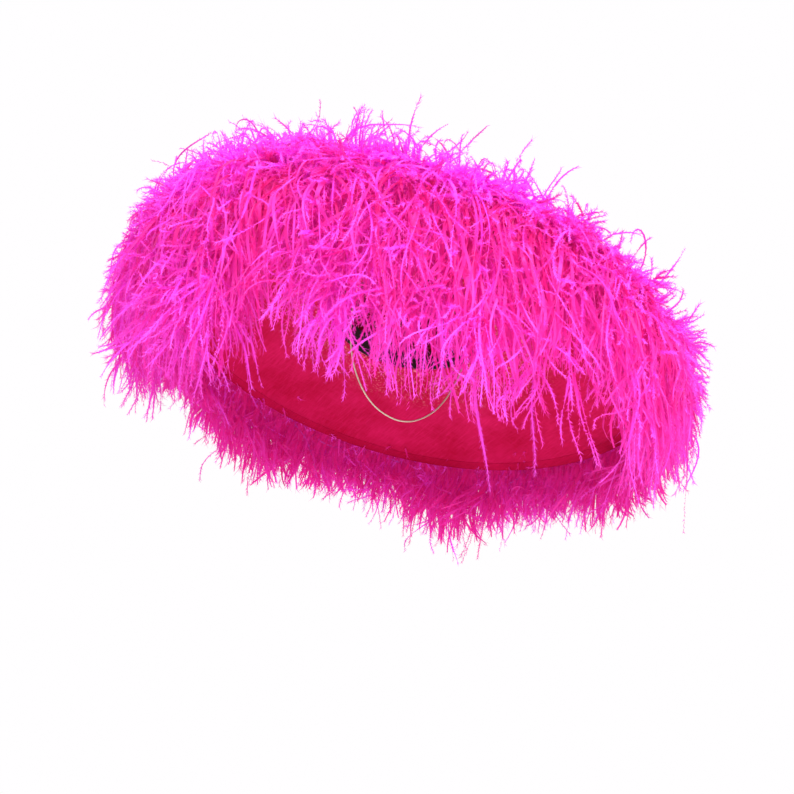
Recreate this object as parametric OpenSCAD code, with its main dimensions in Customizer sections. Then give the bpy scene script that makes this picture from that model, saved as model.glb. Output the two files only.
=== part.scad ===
// Wide-brim woven sun hat trimmed all over with rows of ostrich feather boa.
// Millimetres. The hat is level, its front faces -Y and the crown rises along +Z.
// The origin is the centre of the oval head opening, in the plane where crown and brim meet.

/* [Head opening and crown] */
// Front-to-back size of the head opening
head_length = 198; // [186:1:208]
// Side-to-side size of the head opening
head_width = 165; // [155:1:174]
// Height of the crown above the brim
crown_height = 105; // [95:1:115]
// Height of the sweatband ribbon
sweatband_height = 25; // [20:1:30]

/* [Brim] */
// Diameter of the woven brim, without feathers
brim_diameter = 566; // [556:1:580]
// How far the brim's edge lies below its inner edge
brim_drop = 18; // [8:1:24]
// Thickness of one layer of woven straw
layer_thick = 0.8; // [0.6:0.1:1]

/* [Feathers] */
// Distance from one row on the brim to the next
row_pitch = 34; // [33:0.5:35]
// Diameter of a boa's cord
core_d = 5; // [4:0.5:6]
// Height of the plumes above their cords on the brim
plume_height = 56; // [50:1:70]
// Thickness of a row of plumes on the crown and of the fringe
plume_thick = 15; // [10:1:16]
// How far the fringe hangs below the brim's edge at the front
fringe_drop_front = 215; // [170:1:220]
// How far the fringe hangs below the brim's edge at the back
fringe_drop_back = 135; // [110:1:160]

/* [Elastic] */
// Diameter of the chin elastic
elastic_d = 1.6; // [1.2:0.1:2]

/* [Hidden] */

straw_top = "crimson";
straw_under = "firebrick";
feather = "deeppink";
feather_dark = "mediumvioletred";

round_steps = 180;
oval_steps = 60;
brim_steps = 16;
crown_steps = 12;

half_width = head_width / 2;
half_length = head_length / 2;
brim_r = brim_diameter / 2;

// The sweatband lies innermost, then the collar, then the crown's two layers.
band_thick = 0.8;
collar_offset = band_thick;
inner_offset = collar_offset + layer_thick;
outer_offset = inner_offset + layer_thick;
brim_offset = outer_offset + layer_thick;
crown_round = 3;
crown_flat = 0.12;
// The collar's wall is straight and the crown's draws in, so it stays a little inside the crown.
collar_gap = 0.25;
collar_height = 16;

wire_d = 1.6;
binding_gap = 0.1;
binding_thick = 0.5;
binding_width = 12;

tape_thick = 0.6;
tape_width = 10;
tape_gap = 1;

brim_rows = 5;
first_row_inset = 15;
row_gap = 0.6;
tacks_per_row = 12;
thread_d = 0.8;
tack_clear = 0.3;

// Height of the brim's middle surface at radius r.
function brim_z(r) =
    let (share = max(0, (r - half_width) / (brim_r - half_width)))
    -brim_drop * share * share;

// Radius of a row on the brim, counted from the edge inward.
function row_r(row) = brim_r - first_row_inset - (row - 1) * row_pitch;

// Height of a row's cord centre, which lies on the brim's upper layer.
function row_z(row) = brim_z(row_r(row)) + layer_thick + core_d / 2 + 0.2;

function oval(offset) = [
    for (i = [0 : oval_steps - 1])
        let (t = 360 * i / oval_steps)
        [(half_width + offset) * cos(t), (half_length + offset) * sin(t)]
];

// Share of the crown's full width at a share of its height, as a squared-off dome.
function crown_share(height) = pow(1 - pow(height, crown_round), 1 / crown_round);

function unit(v) = v / norm(v);

// Closed outline round a middle line, with a half thickness at each of its points.
function band(line, halves) =
    let (
        last = len(line) - 1,
        side = [
            for (i = [0 : last])
                let (along = unit(line[min(i + 1, last)] - line[max(i - 1, 0)]))
                [-along.y, along.x] * halves[i]
        ]
    )
    concat(
        [for (i = [0 : last]) line[i] - side[i]],
        [for (i = [last : -1 : 0]) line[i] + side[i]]
    );

// A row of plumes on the brim in section. It fills the pitch and leans outward above its cord at [0, 0].
function plume_block() =
    let (half = (row_pitch - row_gap) / 2, foot = core_d / 2 + 2, round_at = 0.8 * plume_height)
    [
        [-half, foot], [half, foot], [half + 0.3 * row_pitch, round_at],
        [0.5 * half + 0.5 * row_pitch, plume_height],
        [-0.5 * half + 0.4 * row_pitch, plume_height], [-half + 0.3 * row_pitch, round_at],
    ];

// A row of plumes on the crown in section, as a leaf that leans outward from its cord at [0, 0].
function plume_leaf(height, lean) =
    band(
        [
            [0, core_d / 2 + 2], [0.1 * lean, 0.28 * height], [0.34 * lean, 0.56 * height],
            [0.68 * lean, 0.82 * height], [lean, height],
        ],
        plume_thick / 2 * [0.3, 0.75, 1, 1, 0.5]
    );

// Faces between rings of equal length, each ring joined to the next.
function tube_faces(rings, sides, closed) = [
    for (i = [0 : rings - (closed ? 1 : 2)], j = [0 : sides - 1])
        let (k = (i + 1) % rings, m = (j + 1) % sides)
        [i * sides + j, i * sides + m, k * sides + m, k * sides + j]
];

// Ring of a section that follows the head's oval; a section point is [offset, height].
module oval_ring(section, scale_share = 1) {
    sides = len(section);
    points = [
        for (i = [0 : oval_steps - 1], p = section)
            let (t = 360 * i / oval_steps)
            [
                (half_width * scale_share + p.x) * cos(t),
                (half_length * scale_share + p.x) * sin(t),
                p.y,
            ]
    ];
    polyhedron(points, tube_faces(oval_steps, sides, true), convexity = 4);
}

// Wall that follows the head's oval, between two offsets from it.
module oval_wall(inside, outside, low, high) {
    translate([0, 0, low])
        difference() {
            linear_extrude(high - low) polygon(oval(outside));
            translate([0, 0, -1]) linear_extrude(high - low + 2) polygon(oval(inside));
        }
}

// Crown layer as one closed skin: outside, inside and the cut edge round its foot.
module crown_layer(offset, colour) {
    function ring(extra, step) =
        let (
            height = sin(90 * step / crown_steps) * pow(1 - pow(crown_flat, crown_round), 1 / crown_round)
        )
        [
            for (p = oval(offset + extra))
                let (s = crown_share(height))
                [p.x * s, p.y * s, height * (crown_height + extra - layer_thick + offset)]
        ];
    outside = [for (step = [0 : crown_steps]) each ring(layer_thick, step)];
    inside = [for (step = [0 : crown_steps]) each ring(0, step)];
    n = oval_steps;
    shift = len(outside);
    top = n * crown_steps;
    color(colour)
        polyhedron(
            concat(outside, inside),
            concat(
                [for (f = tube_faces(crown_steps + 1, n, false)) [f[3], f[2], f[1], f[0]]],
                [for (f = tube_faces(crown_steps + 1, n, false)) f + shift * [1, 1, 1, 1]],
                [[for (j = [n - 1 : -1 : 0]) top + j]],
                [[for (j = [0 : n - 1]) shift + top + j]],
                [for (j = [0 : n - 1]) let (m = (j + 1) % n) [j, m, shift + m, shift + j]]
            ),
            convexity = 4
        );
}

// One layer of the brim, cut out for the head, with its underside lift above brim_z.
module brim_layer(lift, colour) {
    inner_r = half_width;
    line = [
        for (i = [0 : brim_steps])
            let (r = inner_r + (brim_r - inner_r) * i / brim_steps)
            [r, brim_z(r) + lift]
    ];
    over = [for (i = [brim_steps : -1 : 0]) line[i] + [0, layer_thick]];
    color(colour)
        difference() {
            rotate_extrude($fn = round_steps) polygon(concat(line, over));
            translate([0, 0, -2 * brim_drop])
                linear_extrude(4 * brim_drop) polygon(oval(brim_offset));
        }
}

module ring_cord(r, z, d, colour) {
    color(colour)
        translate([0, 0, z])
            rotate_extrude($fn = round_steps) translate([r, 0]) circle(d = d, $fn = 24);
}

module brim_upper_layer() {
    brim_layer(0, straw_top);
}

module brim_under_layer() {
    brim_layer(-layer_thick, straw_under);
}

module brim_edge_wire() {
    ring_cord(brim_r + wire_d / 2, brim_z(brim_r), wire_d, "silver");
}

// Folded strip round the brim's edge and its wire.
module brim_edge_binding() {
    edge = brim_z(brim_r);
    slope = edge - brim_z(brim_r - binding_width);
    near = wire_d / 2 + binding_gap;
    far = near + binding_thick;
    centre = [brim_r + near, edge];
    inner = brim_r - binding_width;
    color("deeppink")
        rotate_extrude($fn = round_steps)
            polygon(concat(
                [[inner, edge - slope - far], [brim_r, edge - far]],
                [for (a = [-75 : 15 : 75]) centre + far * [cos(a), sin(a)]],
                [[brim_r, edge + far], [inner, edge - slope + far], [inner, edge - slope + near]],
                [[brim_r, edge + near]],
                [for (a = [75 : -15 : -75]) centre + near * [cos(a), sin(a)]],
                [[brim_r, edge - near], [inner, edge - slope - near]]
            ));
}

// Upturned strip that joins the brim to the crown.
module brim_collar() {
    color(straw_under)
        oval_wall(collar_offset, inner_offset - collar_gap, 0, collar_height);
}

module head_size_wire() {
    low = layer_thick + wire_d / 2 + 0.1;
    section = [
        for (i = [0 : 11])
            wire_d / 2 * [cos(30 * i), sin(30 * i)] + [brim_offset + wire_d / 2 + 0.1, low]
    ];
    color("silver") oval_ring(section);
}

module crown_outer_layer() {
    crown_layer(outer_offset, straw_top);
}

module crown_inner_layer() {
    crown_layer(inner_offset, straw_under);
}

module sweatband() {
    color("black")
        oval_wall(0, band_thick, -1, sweatband_height - 1);
}

// Woven heading of the fringe, on the brim's upper face just inside its edge.
module rim_fringe_tape() {
    out = brim_r - tape_gap;
    in = out - tape_width;
    lift = wire_d / 2 + binding_gap + binding_thick + 0.1;
    color(feather_dark)
        rotate_extrude($fn = round_steps)
            polygon([
                [in, brim_z(in) + lift], [out, brim_z(out) + lift],
                [out, brim_z(out) + lift + tape_thick], [in, brim_z(in) + lift + tape_thick],
            ]);
}

// Fringe that goes out over the edge and hangs down all round it, longest at the front.
module rim_fringe_plumes() {
    edge = brim_z(brim_r);
    start = [brim_r + 4, edge + 4];
    line = [
        start, start + [13, 5], start + [19, -0.14 * fringe_drop_front],
        start + [18, -0.45 * fringe_drop_front], start + [14, -0.76 * fringe_drop_front],
        start + [9, -fringe_drop_front],
    ];
    slant = atan2(fringe_drop_front - fringe_drop_back, brim_diameter);
    color(feather)
        difference() {
            rotate_extrude($fn = round_steps)
                polygon(band(line, plume_thick / 2 * [0.25, 0.7, 1, 1, 0.8, 0.35]));
            translate([0, -brim_r, edge - fringe_drop_front])
                rotate([slant, 0, 0])
                    translate([-brim_diameter, -brim_r, -brim_diameter])
                        cube([2 * brim_diameter, 2 * brim_diameter, brim_diameter]);
        }
}

module brim_boa_core(row) {
    ring_cord(row_r(row), row_z(row), core_d, feather_dark);
}

module brim_boa_plumes(row) {
    color(feather)
        translate([0, 0, row_z(row)])
            rotate_extrude($fn = round_steps)
                translate([row_r(row), 0]) polygon(plume_block());
}

// Rows on the crown: height of the row, its share of the oval, the plumes' height and lean.
CROWN_ROWS = [[34, 1, 58, 22], [70, 0.89, 58, 22], [97, 0.64, 58, 16]];
crown_gap = 5.2;

module crown_boa_core(row) {
    spec = CROWN_ROWS[row - 1];
    section = [
        for (i = [0 : 7])
            core_d / 2 * [cos(45 * i), sin(45 * i)] + [crown_gap + core_d / 2, spec[0]]
    ];
    color(feather_dark) oval_ring(section, spec[1]);
}

module crown_boa_plumes(row) {
    spec = CROWN_ROWS[row - 1];
    section = [
        for (p = plume_leaf(spec[2], spec[3])) p + [crown_gap + core_d / 2, spec[0]]
    ];
    color(feather) oval_ring(section, spec[1]);
}

button_r = 14;
button_thick = 3;
button_z = crown_height + outer_offset + 0.2;

module tip_tuft_button() {
    color(feather_dark)
        translate([0, 0, button_z]) cylinder(h = button_thick, r = button_r, $fn = 48);
}

// Upright tuft in the middle of the crown's tip, wider above than at its foot.
module tip_tuft_plumes() {
    color(feather)
        translate([0, 0, button_z + button_thick])
            rotate_extrude($fn = 60)
                polygon([[0, 0], [12, 0], [17, 18], [26, 36], [32, 50], [24, 60], [0, 64]]);
}

// Half loop of thread over a cord at the origin, with its feet in the plane below it.
module tack(d) {
    rotate([90, 0, 0])
        rotate_extrude(angle = 180, $fn = 32) translate([d / 2 + thread_d / 2 + tack_clear, 0])
            circle(d = thread_d, $fn = 16);
}

module tack_stitches() {
    color("palevioletred")
        for (row = [1 : brim_rows], i = [0 : tacks_per_row - 1])
            rotate(360 * (i + row / 2) / tacks_per_row)
                translate([row_r(row), 0, row_z(row)]) tack(core_d);
}

// The elastic swings about this line through its two knots.
elastic_z = 6;
knot_d = 4;
knot_x = half_width - 4.5;

// Route of the elastic: down one side, under the chin and up the other side.
ELASTIC = [
    [78, 0, 4], [78, 0, -3], [77.5, 0, -13], [75.5, 0, -28], [71.5, 0, -46], [65.5, 0, -64],
    [57, 0, -81], [45.5, 0, -96], [31.5, 0, -108], [16, 0, -115], [0, 0, -117],
    [-16, 0, -115], [-31.5, 0, -108], [-45.5, 0, -96], [-57, 0, -81], [-65.5, 0, -64],
    [-71.5, 0, -46], [-75.5, 0, -28], [-77.5, 0, -13], [-78, 0, -3], [-78, 0, 4],
];

// Point on a smooth curve through a route, at u from 0 to the number of its stretches.
function route_point(route, u) =
    let (
        last = len(route) - 1,
        i = min(floor(u), last - 1),
        t = u - i,
        p0 = route[max(i - 1, 0)], p1 = route[i],
        p2 = route[i + 1], p3 = route[min(i + 2, last)]
    )
    0.5 * (2 * p1 + (p2 - p0) * t + (2 * p0 - 5 * p1 + 4 * p2 - p3) * t * t
        + (3 * p1 - p0 - 3 * p2 + p3) * t * t * t);

module elastic_cord() {
    rings = 61;
    sides = 8;
    stretches = len(ELASTIC) - 1;
    points = [
        for (i = [0 : rings - 1])
            let (
                u = stretches * i / (rings - 1),
                here = route_point(ELASTIC, u),
                ahead = route_point(ELASTIC, min(u + 0.05, stretches)),
                behind = route_point(ELASTIC, max(u - 0.05, 0)),
                along = unit(ahead - behind),
                side = unit(cross(along, [0, 1, 0]))
            )
            for (j = [0 : sides - 1])
                here + elastic_d / 2 * (side * cos(45 * j) + [0, 1, 0] * sin(45 * j))
    ];
    end = sides * (rings - 1);
    color("wheat")
        polyhedron(
            points,
            concat(
                tube_faces(rings, sides, false),
                [[for (j = [sides - 1 : -1 : 0]) j], [for (j = [0 : sides - 1]) end + j]]
            ),
            convexity = 6
        );
}

// Barrel knots whose round sides lie on the line that the elastic swings about.
module elastic_knots() {
    color("wheat")
        for (side = [-1, 1])
            translate([side * knot_x, 0, elastic_z])
                rotate([0, 90, 0])
                    rotate_extrude($fn = 32)
                        polygon([
                            [0, -knot_d / 2], [knot_d / 4, -knot_d / 2],
                            [knot_d / 2, -knot_d / 4], [knot_d / 2, knot_d / 4],
                            [knot_d / 4, knot_d / 2], [0, knot_d / 2],
                        ]);
}

// Short bars of thread above the knots that hold them to the sweatband.
module elastic_tacks() {
    color("black")
        for (side = [-1, 1])
            translate([side * (half_width - 1.2), 0, elastic_z + 4])
                rotate([90, 0, 0]) cylinder(d = 1.6, h = 7, center = true, $fn = 16);
}

brim_upper_layer();
brim_under_layer();
brim_edge_wire();
brim_edge_binding();
brim_collar();
head_size_wire();
crown_outer_layer();
crown_inner_layer();
sweatband();
rim_fringe_tape();
rim_fringe_plumes();
for (row = [1 : brim_rows]) {
    brim_boa_core(row);
    brim_boa_plumes(row);
}
for (row = [1 : len(CROWN_ROWS)]) {
    crown_boa_core(row);
    crown_boa_plumes(row);
}
tip_tuft_button();
tip_tuft_plumes();
tack_stitches();
elastic_tacks();
elastic_cord();
elastic_knots();
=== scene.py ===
"""Looks of a wide-brim woven hat trimmed with ostrich boa, in metres, in its CAD model's frame."""
import math

import bpy
import numpy as np
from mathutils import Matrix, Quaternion, Vector


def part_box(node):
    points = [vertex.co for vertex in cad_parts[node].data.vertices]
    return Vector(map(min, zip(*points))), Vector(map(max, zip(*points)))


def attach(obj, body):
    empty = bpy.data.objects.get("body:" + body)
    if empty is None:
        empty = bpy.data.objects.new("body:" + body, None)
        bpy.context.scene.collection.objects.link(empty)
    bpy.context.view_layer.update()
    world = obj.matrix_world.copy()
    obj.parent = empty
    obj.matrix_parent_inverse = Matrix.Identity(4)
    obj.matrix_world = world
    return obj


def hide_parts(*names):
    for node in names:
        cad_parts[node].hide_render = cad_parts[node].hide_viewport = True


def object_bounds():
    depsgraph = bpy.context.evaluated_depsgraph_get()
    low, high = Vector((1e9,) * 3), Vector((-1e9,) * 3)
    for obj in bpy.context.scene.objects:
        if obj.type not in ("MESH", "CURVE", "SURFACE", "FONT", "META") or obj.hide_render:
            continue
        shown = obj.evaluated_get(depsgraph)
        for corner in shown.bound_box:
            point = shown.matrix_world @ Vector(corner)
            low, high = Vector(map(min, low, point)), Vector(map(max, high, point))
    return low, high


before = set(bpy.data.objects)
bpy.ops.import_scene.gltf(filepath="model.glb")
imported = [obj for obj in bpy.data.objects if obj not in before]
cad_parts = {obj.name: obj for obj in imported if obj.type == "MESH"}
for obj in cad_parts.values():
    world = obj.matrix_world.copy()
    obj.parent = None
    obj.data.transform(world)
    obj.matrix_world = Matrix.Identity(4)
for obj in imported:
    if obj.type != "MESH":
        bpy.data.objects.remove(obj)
cad_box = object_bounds()

HAT = "hat"
CHIN_ELASTIC = "chin_elastic"
BRIM_ROWS = 5
OUTER_ROWS = 2
CROWN_ROWS = 3

# The camera looks up at the hat from its front, somewhat towards the wearer's right, and is rolled
# so that the side of the hat at the picture's right looks lower.
AZIMUTH = math.radians(-30)
ELEVATION = math.radians(-28.8)
ROLL = math.radians(16)
CAMERA_DISTANCE = 1.8
FIELD_OF_VIEW = math.radians(27.3)
# Where the camera points, in its own right and up, from the centre of the head opening.
AIM = Vector((-0.0165, -0.0795, 0.0))
CLIP_START = 0.05
CLIP_END = 60


def direction(azimuth, elevation):
    """Unit vector from the hat towards an eye at this azimuth and elevation."""
    flat = math.cos(elevation)
    return Vector((math.sin(azimuth) * flat, -math.cos(azimuth) * flat, math.sin(elevation)))


def make_camera():
    data = bpy.data.cameras.new("camera")
    data.angle = FIELD_OF_VIEW
    data.clip_start = CLIP_START
    data.clip_end = CLIP_END
    camera = bpy.data.objects.new("camera", data)
    bpy.context.collection.objects.link(camera)
    back = direction(AZIMUTH, ELEVATION)
    turn = back.to_track_quat("Z", "Y") @ Quaternion((0, 0, 1), ROLL)
    camera.location = turn @ AIM + CAMERA_DISTANCE * back
    camera.rotation_mode = "QUATERNION"
    camera.rotation_quaternion = turn
    bpy.context.scene.camera = camera


make_camera()


# ---------------------------------------------------------------- materials

BLACK = (0.0, 0.0, 0.0)
WHITE = (1.0, 1.0, 1.0)
# Painted light: pale flecks round the head opening, standing for light that shines through the
# weave, fade out between these radii.
PAINTED_FLECK_R = (0.10, 0.18)
# Colour of the painted light flecks.
PAINTED_LIGHT_FLECK = (0.72, 0.22, 0.26)
# How much the threads, slubs and patches of the straw each count for in its colour.
THREAD_SHARE = 0.45
SLUB_SHARE = 0.07
PATCH_SHARE = 0.48
# Colours of a barb from its root to its tip, on the outside of the plumes and deep down in them.
# The deep colours and the darker, redder roots are painted shade.
OUTER_BARB = [(0.0, (0.84, 0.022, 0.42)), (0.3, (0.86, 0.072, 0.84)), (1.0, (0.90, 0.13, 0.92))]
SHADED_BARB = [(0.0, (0.74, 0.008, 0.15)), (1.0, (0.80, 0.03, 0.37))]
DUSKY_BARB = (0.50, 0.05, 0.37)
BARB_SHEEN = (1.0, 0.4, 0.95)
# Painted glow: the barbs give off a little light of their own, which keeps the depths of the plumes
# from going dark.
PAINTED_GLOW = (0.66, 0.018, 0.46)
PAINTED_GLOW_STRENGTH = 0.20
LIGHT_THROUGH_BARBS = 0.45
RIBS_ROUND_RIBBON = 420
# A Mix node's sockets for two colours and for their mixture.
MIX_A = 6
MIX_B = 7
MIX_RESULT = 2


class Nodes:
    """A material's node tree, with short calls to add nodes and join them."""

    def __init__(self, name):
        self.material = bpy.data.materials.new(name)
        self.material.use_nodes = True
        self.tree = self.material.node_tree
        self.shader = self.tree.nodes["Principled BSDF"]

    def add(self, kind, inputs=(), **settings):
        node = self.tree.nodes.new(kind)
        for key, value in settings.items():
            setattr(node, key, value)
        for key, value in dict(inputs).items():
            self.set(node.inputs[key], value)
        return node

    def set(self, socket, value):
        if isinstance(value, bpy.types.NodeSocket):
            self.tree.links.new(value, socket)
        else:
            socket.default_value = value

    def shade(self, **values):
        for key, value in values.items():
            self.set(self.shader.inputs[key.replace("_", " ").title()], value)

    def base(self, colour):
        self.set(self.shader.inputs["Base Color"], colour)

    def ramp(self, factor, stops):
        node = self.add("ShaderNodeValToRGB", {"Fac": factor})
        elements = node.color_ramp.elements
        while len(elements) < len(stops):
            elements.new(0.5)
        for element, (place, colour) in zip(elements, stops):
            element.position = place
            element.color = (*colour, 1)
        return node.outputs["Color"]

    def mix(self, factor, a, b):
        """Colour a where the factor is 0 and colour b where it is 1."""
        node = self.add("ShaderNodeMix", data_type="RGBA")
        self.set(node.inputs["Factor"], factor)
        self.set(node.inputs[MIX_A], a)
        self.set(node.inputs[MIX_B], b)
        return node.outputs[MIX_RESULT]

    def maths(self, operation, a, b=0.0):
        node = self.add("ShaderNodeMath", operation=operation)
        self.set(node.inputs[0], a)
        self.set(node.inputs[1], b)
        return node.outputs[0]

    def bump(self, height, strength, distance):
        node = self.add(
            "ShaderNodeBump", {"Height": height, "Strength": strength, "Distance": distance}
        )
        self.set(self.shader.inputs["Normal"], node.outputs["Normal"])

    def let_through(self, share, colour):
        """Mix in a translucent shader, so that light comes through the surface."""
        thin = self.add("ShaderNodeBsdfTranslucent", {"Color": colour})
        both = self.add("ShaderNodeMixShader", {"Fac": share})
        self.set(both.inputs[1], self.shader.outputs[0])
        self.set(both.inputs[2], thin.outputs[0])
        self.set(self.tree.nodes["Material Output"].inputs["Surface"], both.outputs[0])

    def place(self, rotation=(0, 0, 0)):
        """The piece's own coordinates, turned about Z where a pattern runs slantwise."""
        here = self.add("ShaderNodeTexCoord").outputs["Object"]
        return self.add("ShaderNodeMapping", {"Vector": here, "Rotation": rotation}).outputs[0]

    def noise(self, vector, scale, detail=3.0):
        node = self.add(
            "ShaderNodeTexNoise", {"Vector": vector, "Scale": scale, "Detail": detail}
        )
        return node.outputs["Fac"]

    def fibres(self, vector, scale):
        """Noise drawn out along one axis, as threads of uneven thickness."""
        drawn = self.add("ShaderNodeMapping", {"Vector": vector, "Scale": scale}).outputs[0]
        return self.noise(drawn, 1.0, 1.0)

    def slanting_bands(self, vector, scale):
        node = self.add(
            "ShaderNodeTexWave",
            {"Vector": vector, "Scale": scale, "Distortion": 1.5, "Detail": 2.0,
             "Detail Scale": 1.5},
            bands_direction="DIAGONAL",
        )
        return node.outputs["Fac"]


def straw_material(name, dark, light):
    """Woven sinamay: two crossed sets of fine uneven fibres, with faint slubs and patches.

    Round the head opening pale flecks are painted light, standing for light that comes through the
    weave.
    """
    nodes = Nodes(name)
    place = nodes.place((0, 0, 0.15))
    warp = nodes.fibres(place, (900, 60, 60))
    weft = nodes.fibres(place, (60, 900, 60))
    slubs = nodes.fibres(place, (240, 16, 16))
    threads = nodes.maths("MAXIMUM", warp, nodes.maths("MULTIPLY", weft, 0.9))
    patches = nodes.noise(place, 14)
    shade = nodes.maths("MULTIPLY", threads, THREAD_SHARE)
    shade = nodes.maths("ADD", shade, nodes.maths("MULTIPLY", slubs, SLUB_SHARE))
    shade = nodes.maths("ADD", shade, nodes.maths("MULTIPLY", patches, PATCH_SHARE))
    radius = nodes.add("ShaderNodeVectorMath", {0: place}, operation="LENGTH").outputs["Value"]
    near = nodes.ramp(radius, [(PAINTED_FLECK_R[0], WHITE), (PAINTED_FLECK_R[1], BLACK)])
    # Painted light: pale specks near the head opening.
    painted_light_specks = nodes.ramp(nodes.noise(place, 420, 2.0), [(0.56, BLACK), (0.70, WHITE)])
    fibre = nodes.ramp(shade, [(0.40, dark), (0.72, light)])
    nodes.base(nodes.mix(nodes.maths("MULTIPLY", near, painted_light_specks), fibre, (*PAINTED_LIGHT_FLECK, 1)))
    nodes.shade(roughness=0.85)
    nodes.shader.inputs["Specular IOR Level"].default_value = 0.06
    nodes.bump(threads, 0.35, 0.0005)
    return nodes.material


def feather_material():
    """Barbs that are magenta outside, with crimson painted shade deep down and at their roots and a
    painted glow, and let some light through.

    The colours stored in "barb" say how far along its barb a point is, how much of the outside
    colour the barb has against the painted shade, with some random tone, and how dusky the barb is.
    """
    nodes = Nodes("ostrich_feather")
    barb = nodes.add("ShaderNodeAttribute", attribute_name="barb").outputs["Color"]
    parts = nodes.add("ShaderNodeSeparateColor", {"Color": barb}).outputs
    along, tone_and_shade, dusk = parts["Red"], parts["Green"], parts["Blue"]
    outer = nodes.ramp(along, OUTER_BARB)
    # Painted shade: the darker, redder colours of barbs deep in the plumes.
    deep = nodes.ramp(along, SHADED_BARB)
    colour = nodes.mix(tone_and_shade, deep, outer)
    colour = nodes.mix(dusk, colour, (*DUSKY_BARB, 1))
    nodes.base(colour)
    nodes.shade(roughness=0.6, sheen_weight=0.3, sheen_roughness=0.4)
    nodes.shader.inputs["Sheen Tint"].default_value = (*BARB_SHEEN, 1)
    nodes.shader.inputs["Specular IOR Level"].default_value = 0.2
    # Painted glow: a little light of the barbs' own, to lift the shade deep in the plumes.
    nodes.shader.inputs["Emission Color"].default_value = (*PAINTED_GLOW, 1)
    nodes.shader.inputs["Emission Strength"].default_value = PAINTED_GLOW_STRENGTH
    nodes.let_through(LIGHT_THROUGH_BARBS, colour)
    return nodes.material


def twisted_material(name, dark, light, scale):
    """Twisted or braided thread, as slanting bands."""
    nodes = Nodes(name)
    twist = nodes.slanting_bands(nodes.place(), scale)
    fuzz = nodes.noise(nodes.place(), scale * 3)
    nodes.base(nodes.ramp(nodes.maths("MULTIPLY", twist, fuzz), [(0.1, dark), (0.6, light)]))
    nodes.shade(roughness=0.75, sheen_weight=0.3)
    nodes.bump(twist, 0.6, 0.0004)
    return nodes.material


def ribbon_material():
    """Grosgrain: fine upright ribs on near-black ribbon."""
    nodes = Nodes("sweatband_ribbon")
    place = nodes.add("ShaderNodeTexCoord").outputs["Object"]
    wide = nodes.add("ShaderNodeTexGradient", {"Vector": place}, gradient_type="RADIAL")
    turns = nodes.maths("MULTIPLY", wide.outputs["Fac"], RIBS_ROUND_RIBBON * math.tau)
    rib = nodes.maths("ADD", nodes.maths("MULTIPLY", nodes.maths("SINE", turns), 0.5), 0.5)
    cloud = nodes.noise(place, 90)
    tone_and_shade = nodes.maths("MULTIPLY", rib, cloud)
    nodes.base(nodes.ramp(tone_and_shade, [(0.0, (0.006, 0.001, 0.002)), (0.6, (0.022, 0.004, 0.008))]))
    nodes.shade(roughness=0.7, sheen_weight=0.05)
    nodes.bump(rib, 0.5, 0.0003)
    return nodes.material


def wire_material():
    nodes = Nodes("drawn_wire")
    streaks = nodes.noise(nodes.place(), 900, 4)
    nodes.base(nodes.ramp(streaks, [(0.3, (0.42, 0.42, 0.44)), (0.7, (0.66, 0.66, 0.68))]))
    nodes.shade(metallic=1.0, roughness=0.35)
    return nodes.material


def floor_material():
    nodes = Nodes("pale_floor")
    cloud = nodes.noise(nodes.place(), 1.2)
    nodes.base(nodes.ramp(cloud, [(0.3, (0.76, 0.76, 0.76)), (0.7, (0.8, 0.8, 0.8))]))
    nodes.shade(roughness=0.9)
    return nodes.material


STRAW_TOP = straw_material("woven_straw", (0.50, 0.003, 0.10), (0.90, 0.015, 0.26))
# The top's straw painted darker under the brim: painted shade.
SHADED_STRAW_UNDER = straw_material("woven_straw_under", (0.34, 0.0008, 0.029), (0.54, 0.008, 0.092))
# The same straw painted much darker inside the crown and on the collar: painted shade.
SHADED_STRAW_INSIDE = straw_material("woven_straw_inside", (0.10, 0.0004, 0.008), (0.24, 0.001, 0.025))
# The edge binding is the underside's straw painted a little darker, as painted shade in the crease
# at the brim's edge.
SHADED_BINDING = straw_material("edge_binding", (0.30, 0.0007, 0.026), (0.48, 0.004, 0.066))
FEATHER = feather_material()
BOA_CORD = twisted_material("boa_cord", (0.3, 0.004, 0.1), (0.75, 0.02, 0.35), 260)
THREAD = twisted_material("thread", (0.4, 0.01, 0.15), (0.85, 0.05, 0.45), 900)
DARK_THREAD = twisted_material("dark_thread", (0.008, 0.005, 0.005), (0.05, 0.03, 0.03), 900)
ELASTIC = twisted_material("elastic_cover", (0.46, 0.40, 0.29), (0.80, 0.74, 0.60), 700)
RIBBON = ribbon_material()
WIRE = wire_material()


def dress(node, material):
    """Give a CAD node that stays in view its finished material."""
    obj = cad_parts[node]
    obj.data.materials.clear()
    obj.data.materials.append(material)


CAD_LOOKS = {
    "brim_upper_layer": STRAW_TOP,
    "brim_under_layer": SHADED_STRAW_UNDER,
    "brim_edge_wire": WIRE,
    "brim_edge_binding": SHADED_BINDING,
    "brim_collar": SHADED_STRAW_INSIDE,
    "head_size_wire": WIRE,
    "crown_outer_layer": STRAW_TOP,
    "crown_inner_layer": SHADED_STRAW_INSIDE,
    "sweatband": RIBBON,
    "rim_fringe_tape": BOA_CORD,
    "tip_tuft_button": BOA_CORD,
    "tack_stitches": THREAD,
    "elastic_tacks": DARK_THREAD,
}
CAD_LOOKS.update({f"brim_boa_core_{row}": BOA_CORD for row in range(1, BRIM_ROWS + 1)})
CAD_LOOKS.update({f"crown_boa_core_{row}": BOA_CORD for row in range(1, CROWN_ROWS + 1)})
for node_name, look in CAD_LOOKS.items():
    dress(node_name, look)


# ---------------------------------------------------------------- chin elastic

ELASTIC_DIAMETER = 0.0016
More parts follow.
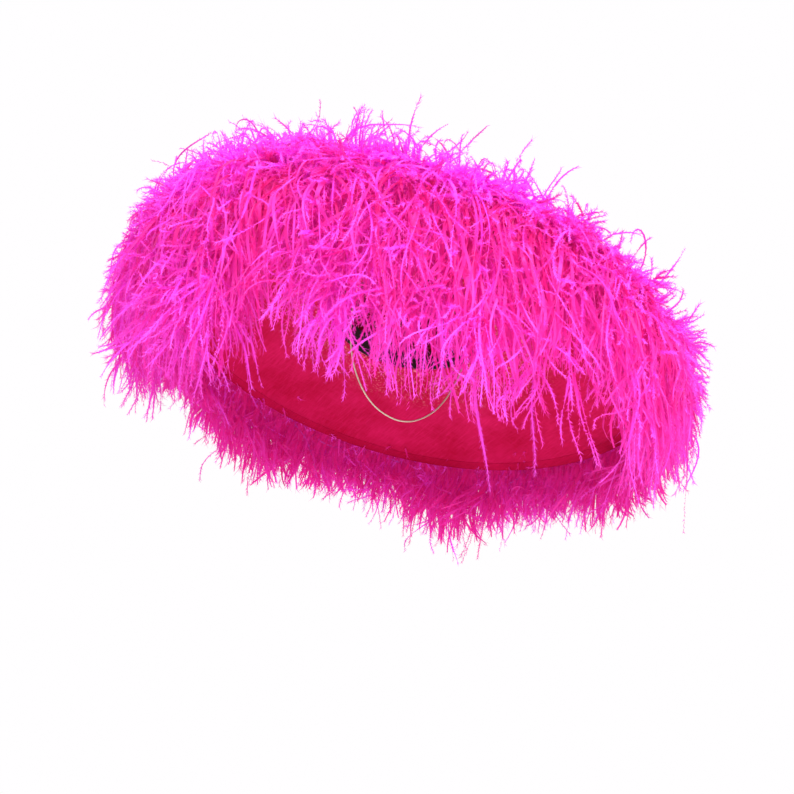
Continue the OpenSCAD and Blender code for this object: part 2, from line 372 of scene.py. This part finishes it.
# Down from one knot to the lowest point under the chin; the other side is its mirror image.
HALF_ROUTE = [
    (0.078, 0, 0.004), (0.078, 0, -0.003), (0.0775, 0, -0.013), (0.0755, 0, -0.028),
    (0.0715, 0, -0.046), (0.0655, 0, -0.064), (0.057, 0, -0.081), (0.0455, 0, -0.096),
    (0.0315, 0, -0.108), (0.016, 0, -0.115), (0, 0, -0.117),
]
ELASTIC_ROUTE = HALF_ROUTE + [(-x, y, z) for x, y, z in reversed(HALF_ROUTE[:-1])]
POINTS_PER_STRETCH = 6
# Radius of the cord within a knot, and the knot's own size.
KNOT_TUBE = 0.0006
KNOT_SIZE = 0.00048
KNOT_POINTS = 60


def smooth_route(route, per_stretch):
    """Points on the same smooth curve that the CAD tube follows."""
    route = np.array(route, float)
    padded = np.concatenate([route[:1], route, route[-1:]])
    points = []
    for i in range(len(route) - 1):
        p0, p1, p2, p3 = padded[i : i + 4]
        for step in range(per_stretch):
            t = step / per_stretch
            points.append(
                0.5 * (2 * p1 + (p2 - p0) * t + (2 * p0 - 5 * p1 + 4 * p2 - p3) * t**2
                       + (3 * p1 - p0 - 3 * p2 + p3) * t**3)
            )
    points.append(route[-1])
    return np.array(points)


def tube_curve(name, lines, radius, material, closed=False):
    """Round cords along lines, as one object."""
    data = bpy.data.curves.new(name, "CURVE")
    data.dimensions = "3D"
    data.bevel_depth = radius
    data.bevel_resolution = 3
    data.use_fill_caps = not closed
    for line in lines:
        spline = data.splines.new("POLY")
        spline.points.add(len(line) - 1)
        spline.points.foreach_set("co", np.c_[line, np.ones(len(line))].ravel())
        spline.use_cyclic_u = closed
        spline.use_smooth = True
    data.materials.append(material)
    obj = bpy.data.objects.new(name, data)
    bpy.context.collection.objects.link(obj)
    return obj


def knot_line(centre):
    """A closed trefoil, which reads as a small overhand knot."""
    turn = np.linspace(0, math.tau, KNOT_POINTS, endpoint=False)
    x = np.sin(turn) + 2 * np.sin(2 * turn)
    y = np.cos(turn) - 2 * np.cos(2 * turn)
    z = -np.sin(3 * turn)
    return np.array(centre) + KNOT_SIZE * np.stack([z, x, y], axis=1)


def make_elastic():
    line = smooth_route(ELASTIC_ROUTE, POINTS_PER_STRETCH)
    cord = tube_curve("chin_elastic_cord", [line], ELASTIC_DIAMETER / 2, ELASTIC)
    low, high = (np.array(corner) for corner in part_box("elastic_knots"))
    reach = (high[2] - low[2]) / 2
    centres = [
        (x, (low[1] + high[1]) / 2, (low[2] + high[2]) / 2)
        for x in (low[0] + reach, high[0] - reach)
    ]
    lines = [knot_line(centre) for centre in centres]
    knots = tube_curve("chin_elastic_knots", lines, KNOT_TUBE, ELASTIC, closed=True)
    for obj, node in ((cord, "elastic_cord"), (knots, "elastic_knots")):
        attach(obj, CHIN_ELASTIC)
        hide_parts(node)


make_elastic()


# ---------------------------------------------------------------- feathers

SEED = 41
# Which way barbs hang: the level hat's own down, turned as if it sat tilted to the wearer's left.
GRAVITY = np.array([0.34, 0.02, -1.0])
GRAVITY /= np.linalg.norm(GRAVITY)
MAX_TRIANGLES = 150_000
# Width of a barbule at its foot, and how far along a barb its weight takes over from stiffness.
BARBULE_BASE = 0.0014
FREE_AFTER = 0.06
FEWEST_PLUMES = 12
# How unevenly roots lie along a row and within a plume.
ROW_SCATTER = 0.0018
PLUME_SCATTER = 0.0015
# How far above the straw a root has to be. The rest of a barb keeps this range above it, on top of
# what its barbules reach out, in lengths of a barbule.
ROOT_LIFT = 0.003
BARB_LIFT = (0.003, 0.009)
BARBULE_REACH = 1.8
# Barbs clear the brim's edge by this much, and those over it can't tuck in under it for this depth.
EDGE_ROOM = 0.004
TUCK_DEPTH = 0.03
# Barbs stay this far outside the crown. Within this share of its width they are lifted to its tip.
CROWN_ROOM = 0.006
TIP_SHARE = 0.7
# Ranges of length and of limpness, as shares of their layer's, between plumes and within a plume.
PLUME_LENGTHS = (0.85, 1.1)
BARB_LENGTHS = (0.75, 1.0)
PLUME_LIMPNESS = (0.6, 1.4)
BARB_LIMPNESS = (0.8, 1.2)
# Waves of a barb: share of its layer's wander, range of wavelengths, and whether a plume shares it.
WAVES = [(1.0, (0.12, 0.26), True), (0.8, (0.07, 0.14), True), (0.8, (0.08, 0.18), False)]
# Barbs twist by up to this angle either way, in radians, and narrow by this share towards the tip.
TWIST = 7
TAPER = 0.65
# Range of widths of barbs and of lengths of barbules, as shares of their look's.
VARIETY = (0.7, 1.25)
# How unevenly barbs end where they reach the limits of the hat's space.
RAGGED = 0.035
# A barb that would keep less than this share of its length is left out.
SHORTEST_SHARE = 0.2
# Random spread, barb by barb, of how much outside colour a barb has against painted shade.
TONE_AND_SHADE_SPREAD = 0.1
# The plumes bunch up and thin out along each row: bunches in a turn, share of length, place of one.
BUNCHES = 7
BUNCH_DEPTH = 0.22
BUNCH_AT = math.radians(192)
# The fringe is longest on one side of the front, and short plumes lie closer on the other. There
# their headings are turned down by this much.
LONG_SIDE = math.radians(240)
CLOSE_SIDE = math.radians(285)
CLOSE_DROP = 1.2
# Halfway between the longest and the shortest of the fringe, as the cosine of the angle from its
# long side, and how steeply it gets shorter there.
LONG_REACH = 0.4
LONG_STEEPNESS = 2.5

brim_low, brim_high = (np.array(corner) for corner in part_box("brim_upper_layer"))
crown_high = np.array(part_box("crown_outer_layer")[1])
BRIM_R = float(brim_high[0])
BRIM_DROP = float(brim_high[2] - brim_low[2])
# The feathers may reach somewhat past the CAD box.
LOWEST = float(cad_box[0][2]) - 0.019
HIGHEST = float(cad_box[1][2]) + 0.014
WIDEST = float(cad_box[1][0]) + 0.023


def unit(v):
    return v / np.maximum(np.linalg.norm(v, axis=-1, keepdims=True), 1e-12)


def turn_about(v, axis, angle):
    """Vectors v turned about unit axes by angles, all of the same length."""
    cos, sin = np.cos(angle)[..., None], np.sin(angle)[..., None]
    along = (v * axis).sum(-1, keepdims=True)
    return v * cos + np.cross(axis, v) * sin + axis * along * (1 - cos)


def random_units(rng, shape):
    return unit(rng.normal(size=(*shape, 3)))


def rest_on_hat(point, gone_over, lift):
    """Keep points on top of the brim until they have gone over its edge, and outside the crown.

    Points that have gone over the edge are kept from tucking in close under it.
    """
    x, y, z = point[..., 0], point[..., 1], point[..., 2]
    r = np.hypot(x, y)
    over_brim = r < BRIM_R + EDGE_ROOM
    gone_over = gone_over | ~over_brim
    share = np.clip((r - crown_high[0]) / (BRIM_R - crown_high[0]), 0, 1)
    top = brim_high[2] - BRIM_DROP * share**2
    below = gone_over & (z < top)
    z = np.where(over_brim & ~below, np.maximum(z, top + lift), z)
    tucked_in = over_brim & below & (z > top - TUCK_DEPTH)
    out = np.where(tucked_in, (BRIM_R + EDGE_ROOM) / np.maximum(r, 0.01), 1.0)
    x, y = x * out, y * out
    wide, deep, tall = crown_high + CROWN_ROOM
    spread = np.hypot(x / wide, y / deep)
    height = np.clip(z / tall, 0, 0.97)
    inside = spread / (1 - height**3) ** (1 / 3)
    in_crown = (inside < 1) & (z > 0) & (z < crown_high[2])
    under_tip = in_crown & (spread < TIP_SHARE)
    z = np.where(under_tip, tall * (1 - np.minimum(spread, TIP_SHARE) ** 3) ** (1 / 3), z)
    push = np.where(in_crown & ~under_tip, 1 / np.maximum(inside, TIP_SHARE), 1.0)
    return np.stack([x * push, y * push, z], axis=-1), gone_over


def grow(rng, root, heading, reach, look):
    """Middle lines of the barbs of each plume, as an array of plumes by barbs by steps by 3.

    The barbs of a plume fan out from its root, bend with it, go limp towards their tips, and some
    plumes draw together again at the tip.
    """
    plumes, each, steps = len(root), look["each"], look["steps"]
    point = root[:, None] + rng.normal(0, PLUME_SCATTER, (plumes, each, 3))
    way = unit(heading[:, None] + look["fan"] * rng.normal(size=(plumes, each, 3)))
    length = (look["length"] * reach * rng.uniform(*PLUME_LENGTHS, plumes))[:, None]
    length = length * rng.uniform(*BARB_LENGTHS, (plumes, each))
    limp = look["limp"] * rng.uniform(*PLUME_LIMPNESS, (plumes, 1))
    limp = limp * rng.uniform(*BARB_LIMPNESS, (plumes, each))
    curl = look["curl"] * (rng.normal(0, 1, (plumes, 1)) + 0.5 * rng.normal(0, 1, (plumes, each)))
    axis = unit(np.cross(heading, random_units(rng, (plumes,))))[:, None]
    waves = []
    for weight, wavelength, shared in WAVES:
        shape = (plumes, 1 if shared else each)
        turns = math.tau / rng.uniform(*wavelength, shape)
        phase = rng.uniform(0, math.tau, shape)
        waves.append((look["wander"] * weight, turns, phase, random_units(rng, shape)))
    lift = BARBULE_REACH * look["barbule"] + rng.uniform(*BARB_LIFT, (plumes, each))
    gone_over = point[..., 2] < brim_low[2] - 0.01
    point, gone_over = rest_on_hat(point, gone_over, ROOT_LIFT)
    line = [point]
    for step in range(steps):
        t = (step + 0.5) / steps
        point = point + way * (length / steps)[..., None]
        point, gone_over = rest_on_hat(point, gone_over, lift)
        line.append(point)
        bend = limp * np.minimum(1, t * length / FREE_AFTER) * length / steps
        way = way + GRAVITY * bend[..., None]
        for size, turns, phase, side in waves:
            sway = size * np.cos(turns * t * length + phase) * length / steps
            way = way + side * sway[..., None]
        way = unit(turn_about(unit(way), axis, curl * (0.4 + t) / steps))
    lines = np.stack(line, axis=2)
    t = np.linspace(0, 1, steps + 1)[:, None]
    gather = rng.uniform(0, look["gather"], (plumes, 1, 1, 1)) * t**1.5
    return lines * (1 - gather) + lines.mean(axis=1, keepdims=True) * gather


def cut_to_limits(rng, lines):
    """End each barb before it leaves the space that the hat may fill, some sooner than others.

    Gives back the barbs, and which of them are still long enough to keep.
    """
    slack = RAGGED * np.sqrt(rng.uniform(0, 1, (len(lines), 1)))
    steps = lines.shape[1] - 1
    r = np.hypot(lines[..., 0], lines[..., 1])
    z = lines[..., 2]
    fits = (r < WIDEST - slack) & (z > LOWEST + slack / 2) & (z < HIGHEST - slack / 2)
    share = (np.logical_and.accumulate(fits, axis=1).sum(axis=1) - 1) / steps
    at = np.linspace(0, steps, steps + 1)[None, :] * share.clip(0)[:, None]
    low = np.floor(at).astype(int).clip(0, steps - 1)
    part = (at - low)[..., None]
    rows = np.arange(len(lines))[:, None]
    return lines[rows, low] * (1 - part) + lines[rows, low + 1] * part, share > SHORTEST_SHARE


def barb_mesh(rng, lines, tone_and_shade, look):
    """Points, triangles and tints of barbs: twisted ribbons fringed with fine slanting barbules."""
    count, rings = lines.shape[:2]
    t = np.linspace(0, 1, rings)
    tangent = unit(np.gradient(lines, axis=1))
    side = unit(np.cross(tangent, random_units(rng, (count, 1))))
    other = np.cross(tangent, side)
    twist = rng.uniform(0, math.tau, (count, 1)) + rng.uniform(-TWIST, TWIST, (count, 1)) * t
    side, other = (
        side * np.cos(twist)[..., None] + other * np.sin(twist)[..., None],
        other * np.cos(twist)[..., None] - side * np.sin(twist)[..., None],
    )
    width = look["width"] * rng.uniform(*VARIETY, (count, 1)) * (1 - TAPER * t**3)
    points = [lines - side * width[..., None], lines + side * width[..., None]]
    along = [t, t]
    step = np.arange(rings - 1)
    triangles = [
        np.stack([step, step + rings, step + rings + 1], 1),
        np.stack([step, step + rings + 1, step + 1], 1),
    ]
    # Barbules are shortest at the root of a barb and lean forward most at its tip.
    fluff = look["barbule"] * rng.uniform(*VARIETY, (count, 1)) * np.clip(0.3 + 3 * t, 0.3, 1)
    forward = (1.0 + 0.8 * t[1:] ** 4)[:, None]
    first = 2 * rings
    for sign in (-1, 1):
        for number in range(look["barbules"]):
            shape = (count, rings - 1)
            share = ((number + rng.uniform(0, 0.8, shape)) / look["barbules"])[..., None]
            foot = lines[:, :-1] * (1 - share) + lines[:, 1:] * share
            roll = rng.normal(0, 0.9, shape)[..., None]
            out = sign * (side[:, 1:] * np.cos(roll) + other[:, 1:] * np.sin(roll))
            long = (fluff[:, 1:] * rng.uniform(0.5, 1.2, shape))[..., None]
            tip = foot + (out + tangent[:, 1:] * forward) * long
            points += [foot, foot + tangent[:, 1:] * BARBULE_BASE, tip]
            along += [t[1:]] * 3
            triangles.append(first + np.stack([step, step + rings - 1, step + 2 * (rings - 1)], 1))
            first += 3 * (rings - 1)
    points = np.concatenate(points, axis=1)
    pattern = np.concatenate(triangles)
    per = points.shape[1]
    faces = (pattern[None] + (np.arange(count) * per)[:, None, None]).reshape(-1, 3)
    tints = np.ones((count, per, 4), np.float32)
    tints[..., 0] = np.concatenate(along)
    tints[..., 1] = tone_and_shade[:, None]
    tints[..., 2] = look["dusk"]
    return points.reshape(-1, 3), faces, tints.reshape(-1, 4)


def triangle_object(name, points, triangles, tints):
    """A feather mesh that carries the tints for its material."""
    mesh = bpy.data.meshes.new(name)
    mesh.vertices.add(len(points))
    mesh.vertices.foreach_set("co", points.astype(np.float32).ravel())
    mesh.loops.add(3 * len(triangles))
    mesh.loops.foreach_set("vertex_index", triangles.astype(np.int32).ravel())
    mesh.polygons.add(len(triangles))
    mesh.polygons.foreach_set("loop_start", np.arange(0, 3 * len(triangles), 3, dtype=np.int32))
    mesh.polygons.foreach_set("use_smooth", np.ones(len(triangles), bool))
    mesh.update(calc_edges=True)
    layer = mesh.color_attributes.new("barb", "FLOAT_COLOR", "POINT")
    layer.data.foreach_set("color", tints.ravel())
    mesh.materials.append(FEATHER)
    obj = bpy.data.objects.new(name, mesh)
    bpy.context.collection.objects.link(obj)
    return obj


def add_feathers(name, node, rng, lines, tone_and_shade, look):
    """Pieces for one node's barbs, parted into sectors so that no piece gets too heavy."""
    per_barb = (2 + 2 * look["barbules"]) * look["steps"]
    sectors = max(1, math.ceil(len(lines) * per_barb / MAX_TRIANGLES))
    angle = np.arctan2(lines[:, 0, 1], lines[:, 0, 0]) + math.pi
    sector = np.minimum((angle / math.tau * sectors).astype(int), sectors - 1)
    for number in range(sectors):
        chosen = sector == number
        mesh = barb_mesh(rng, lines[chosen], tone_and_shade[chosen], look)
        obj = triangle_object(f"{name}_{number + 1}", *mesh)
        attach(obj, HAT)
        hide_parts(node)


class Ring:
    """An oval row of roots, this far inside the outer edge of a CAD node and halfway up it."""

    def __init__(self, node, inset):
        low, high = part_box(node)
        self.half = np.array([(high[0] - low[0]) / 2, (high[1] - low[1]) / 2]) - inset
        self.z = (low[2] + high[2]) / 2
        self.length = math.tau * float(self.half.mean())

    def roots(self, rng, per_metre):
        """Root points, outward directions and directions along the row."""
        count = max(FEWEST_PLUMES, int(self.length * per_metre))
        angle = (np.arange(count) + rng.uniform(-0.5, 0.5, count)) * math.tau / count
        out = np.stack([np.cos(angle), np.sin(angle), np.zeros(count)], axis=1)
        place = np.stack(
            [self.half[0] * out[:, 0], self.half[1] * out[:, 1], np.full(count, self.z)], axis=1
        )
        tangent = np.stack([-out[:, 1], out[:, 0], np.zeros(count)], axis=1)
        return place + rng.normal(0, ROW_SCATTER, (count, 3)), out, tangent


def headings(rng, out, tangent, rise, rise_spread, swing):
    """Directions at an angle above level, spread to both sides; angles in degrees."""
    count = len(out)
    lift = np.radians(rng.normal(rise, rise_spread, count))
    turn = np.radians(rng.normal(0, swing, count))
    flat = out * np.cos(turn)[:, None] + tangent * np.sin(turn)[:, None]
    return unit(flat * np.cos(lift)[:, None] + np.array([0, 0, 1.0]) * np.sin(lift)[:, None])


# Looks of barbs: barbs in a plume, steps along a barb, barbules to each side of a step, how far a
# plume may draw together at its tip, how its barbs fan out and wander, half width of a barb and
# length of a barbule in m, how much outside colour it has against painted shade (low for the layers
# that lie deep, with some random tone), how dusky it is, share of its length that it has at the
# back, and how close it lies on the close side.
BARB = dict(each=7, steps=12, barbules=3, gather=0.75, fan=0.2, wander=20, width=0.0010,
            barbule=0.0028, tones_and_shades=(0.45, 1.0), dusk=0.0, back=1.0, close=0.6)
DOWN = {**BARB, "each": 5, "steps": 10, "barbules": 1, "curl": 1.5, "width": 0.0018,
        "barbule": 0.005}
STRAY = {**BARB, "each": 1, "steps": 18, "barbules": 2, "curl": 3.0, "wander": 30, "width": 0.0009,
         "barbule": 0.0024, "dusk": 0.7}
LOOSE = {**BARB, "steps": 36, "barbules": 4, "barbule": 0.0034}
# Root, tip and half width of each barb that hangs free under the front of the brim.
LOOSE_BARBS = [
    ((-0.062, -0.176, -0.012), (0.040, -0.166, -0.232), 0.0021),
    ((0.010, -0.215, -0.018), (0.043, -0.228, -0.230), 0.0010),
]
# How much outside colour the loose barbs have against painted shade.
LOOSE_TONE_AND_SHADE = 0.8
# Such a barb bows to one side and waves a little, both mostly along X.
LOOSE_BOW = -0.014
LOOSE_WAVE = 0.002
LOOSE_SIDE = (1, 0.4, 0)

# Flues spring from stems up to this share of their length, at a heading mixed from the stem's own
# and the way out from the hat, with this much spread.
FLUE_REACH = 0.75
FLUE_ALONG = 0.6
FLUE_OUT = 0.4
FLUE_SPREAD = 0.45

# Layers of barbs, each with a look: plumes per metre of row or their number, rise and swing in
# degrees, length in m, and how much a barb turns down in one metre and curls.
LAYERS = {
    "hanging": {**BARB, "per_metre": 180, "steps": 24, "rise": -24, "rise_spread": 16, "swing": 22,
                "length": 0.34, "back": 0.35, "close": 0.0, "limp": 40, "curl": 0.8,
                "tones_and_shades": (0.0, 0.8)},
    "flue": {**BARB, "number": 2400, "each": 3, "gather": 0.5, "length": 0.100, "limp": 22,
             "curl": 1.1, "tones_and_shades": (0.25, 0.85)},
    "outward": {**BARB, "per_metre": 160, "rise": -4, "rise_spread": 24, "swing": 55,
                "length": 0.095, "limp": 34, "curl": 1.8, "tones_and_shades": (0.6, 1.0)},
    "lining": {**DOWN, "per_metre": 420, "steps": 14, "rise": -75, "rise_spread": 14, "swing": 30,
               "length": 0.200, "back": 0.46, "close": 0.0, "limp": 50, "tones_and_shades": (0.0, 0.3)},
    "upright": {**BARB, "per_metre": 150, "rise": 22, "rise_spread": 26, "swing": 70,
                "length": 0.115, "limp": 36, "curl": 2.2, "wander": 26, "tones_and_shades": (0.9, 1.0)},
    "inner": {**BARB, "per_metre": 75, "rise": 34, "rise_spread": 24, "swing": 66,
              "length": 0.110, "limp": 36, "curl": 2.0, "tones_and_shades": (0.8, 1.0)},
    "crown": {**BARB, "per_metre": 140, "rise": 32, "rise_spread": 24, "swing": 62,
              "length": 0.110, "limp": 36, "curl": 1.8, "tones_and_shades": (0.75, 1.0)},
    "tuft": {**BARB, "per_metre": 900, "rise": 58, "rise_spread": 24, "swing": 60,
             "length": 0.095, "limp": 40, "curl": 1.6, "tones_and_shades": (0.75, 1.0)},
    "down": {**DOWN, "per_metre": 150, "rise": 6, "rise_spread": 24, "swing": 55,
             "length": 0.062, "limp": 46, "tones_and_shades": (0.75, 1.0)},
    "stray": {**STRAY, "per_metre": 80, "rise": 36, "rise_spread": 26, "swing": 55,
              "length": 0.120, "limp": 12},
}


def closeness(out, look):
    """How close to the hat plumes lie, from 0 to their layer's own most on the close side."""
    angle = np.arctan2(out[:, 1], out[:, 0])
    return look["close"] * np.clip(np.cos(angle - CLOSE_SIDE), 0, 1) ** 2


def lengths_around(out, look):
    """Share of full length by place: most on the long side, less on the close one, with bunches."""
    angle = np.arctan2(out[:, 1], out[:, 0])
    front = 0.5 + 0.5 * np.tanh(LONG_STEEPNESS * (np.cos(angle - LONG_SIDE) - LONG_REACH))
    bunch = 1 + BUNCH_DEPTH * np.cos(BUNCHES * (angle - BUNCH_AT))
    return (look["back"] + (1 - look["back"]) * front) * bunch * (1 - closeness(out, look))


def finish_layer(name, node, rng, root, heading, reach, look):
    """Grow a layer's barbs, add them to the scene and give back their middle lines."""
    lines = grow(rng, root, heading, reach, look)
    # How much outside colour each barb has against painted shade: a range by layer, plus random
    # tone.
    tone_and_shade = rng.uniform(*look["tones_and_shades"], (len(root), 1))
    tone_and_shade = tone_and_shade + rng.normal(0, TONE_AND_SHADE_SPREAD, lines.shape[:2])
    lines, kept = cut_to_limits(rng, lines.reshape(-1, look["steps"] + 1, 3))
    add_feathers(name, node, rng, lines[kept], np.clip(tone_and_shade.ravel()[kept], 0, 1), look)
    return lines[kept]


def add_layer(name, node, ring, layer, seed):
    """Add a layer of plumes along a ring, from its own stream of random numbers."""
    rng = np.random.default_rng(SEED + seed)
    look = LAYERS[layer]
    root, out, tangent = ring.roots(rng, look["per_metre"])
    heading = headings(rng, out, tangent, look["rise"], look["rise_spread"], look["swing"])
    heading[:, 2] -= CLOSE_DROP * closeness(out, look)
    return finish_layer(name, node, rng, root, heading, lengths_around(out, look), look)


def add_flues(name, node, stems, seed):
    """Side barbs that spring from points all along other barbs, as from the quill of a plume."""
    rng = np.random.default_rng(SEED + seed)
    look = LAYERS["flue"]
    length = np.linalg.norm(np.diff(stems, axis=1), axis=-1).sum(axis=1)
    stem = rng.choice(len(stems), look["number"], p=length / length.sum())
    place = rng.integers(1, int(FLUE_REACH * stems.shape[1]), size=look["number"])
    root = stems[stem, place]
    out = unit(root * (1, 1, 0))
    aside = rng.normal(0, FLUE_SPREAD, root.shape)
    ahead = unit(stems[stem, place + 1] - root)
    heading = unit(FLUE_ALONG * ahead + FLUE_OUT * out + aside)
    finish_layer(name, node, rng, root, heading, np.ones(len(root)), look)


def add_loose_barb(name, root, tip, look):
    """One long barb, nearly straight, that has come away from the fringe and hangs by its root."""
    rng = np.random.default_rng(SEED + LOOSE_STREAM)
    t = np.linspace(0, 1, look["steps"] + 1)[:, None]
    bow = LOOSE_BOW * np.sin(math.pi * t) + LOOSE_WAVE * np.sin(5 * math.pi * t)
    line = np.array(root) * (1 - t) + np.array(tip) * t + bow * LOOSE_SIDE
    add_feathers(name, "rim_fringe_plumes", rng, line[None], np.array([LOOSE_TONE_AND_SHADE]), look)


# Each layer has its own stream of random numbers: 0 to 5 for the fringe, and ten for each row.
CROWN_STREAM = 100
TUFT_STREAM = 200
LOOSE_STREAM = 300
# How far inside the outer edge of its cord, tape, binding or button a ring of roots lies.
CORD_INSET = 0.0025
TAPE_INSET = 0.002
BINDING_INSET = -0.0045
BUTTON_INSET = 0.008


def make_feathers():
    rim = Ring("rim_fringe_tape", TAPE_INSET)
    edge = Ring("brim_edge_binding", BINDING_INSET)
    stems = add_layer("rim_fringe_hanging", "rim_fringe_plumes", rim, "hanging", 0)
    add_flues("rim_fringe_flues", "rim_fringe_plumes", stems, 1)
    add_layer("rim_fringe_lining", "rim_fringe_plumes", edge, "lining", 2)
    for number, layer in enumerate(("outward", "down", "stray")):
        add_layer(f"rim_fringe_{layer}", "rim_fringe_plumes", rim, layer, 3 + number)
    for number, (root, tip, width) in enumerate(LOOSE_BARBS, 1):
        add_loose_barb(f"rim_fringe_loose_{number}", root, tip, {**LOOSE, "width": width})
    for row in range(1, BRIM_ROWS + 1):
        ring = Ring(f"brim_boa_core_{row}", CORD_INSET)
        main = "upright" if row <= OUTER_ROWS else "inner"
        for number, layer in enumerate((main, "down", "stray")):
            name = f"brim_boa_{row}_{layer}"
            add_layer(name, f"brim_boa_plumes_{row}", ring, layer, 10 * row + number)
    for row in range(1, CROWN_ROWS + 1):
        ring = Ring(f"crown_boa_core_{row}", CORD_INSET)
        for number, layer in enumerate(("crown", "down")):
            name = f"crown_boa_{row}_{layer}"
            stream = CROWN_STREAM + 10 * row + number
            add_layer(name, f"crown_boa_plumes_{row}", ring, layer, stream)
    button = Ring("tip_tuft_button", BUTTON_INSET)
    add_layer("tip_tuft", "tip_tuft_plumes", button, "tuft", TUFT_STREAM)


make_feathers()


# ---------------------------------------------------------------- floor and lights

# The floor lies below every camera that looks up at the hat, and reaches far behind it.
FLOOR_Z = -3.0
FLOOR_REACH = 40
SKY = (1.0, 0.99, 1.0)
SKY_STRENGTH = 1.0
# Azimuth and elevation in degrees, distance and diameter in m, and power in W.
LIGHTS = {
    "key": (-30, 41, 2.4, 1.2, 125),
    "bounce": (-10, -68, 2.6, 2.4, 40),
    "fill": (10, 0, 2.6, 1.6, 20),
    "rim": (150, 35, 2.6, 1.2, 30),
}


def make_floor():
    mesh = bpy.data.meshes.new("floor")
    far = FLOOR_REACH
    corners = [(x, y, FLOOR_Z) for x, y in ((-far, -far), (far, -far), (far, far), (-far, far))]
    mesh.from_pydata(corners, [], [(0, 1, 2, 3)])
    mesh.materials.append(floor_material())
    floor = bpy.data.objects.new("floor", mesh)
    bpy.context.collection.objects.link(floor)


def area_light(name, azimuth, elevation, distance, size, power):
    """A round soft light that faces the hat."""
    data = bpy.data.lights.new(name, "AREA")
    data.shape = "DISK"
    data.size = size
    data.energy = power
    light = bpy.data.objects.new(name, data)
    bpy.context.collection.objects.link(light)
    towards = direction(math.radians(azimuth), math.radians(elevation))
    light.location = towards * distance
    light.rotation_mode = "QUATERNION"
    light.rotation_quaternion = towards.to_track_quat("Z", "Y")


def make_lights():
    world = bpy.data.worlds.new("studio")
    world.use_nodes = True
    sky = world.node_tree.nodes["Background"]
    sky.inputs["Color"].default_value = (*SKY, 1)
    sky.inputs["Strength"].default_value = SKY_STRENGTH
    bpy.context.scene.world = world
    for name, values in LIGHTS.items():
        area_light(name, *values)


make_floor()
make_lights()
bpy.context.scene.view_settings.view_transform = "Standard"
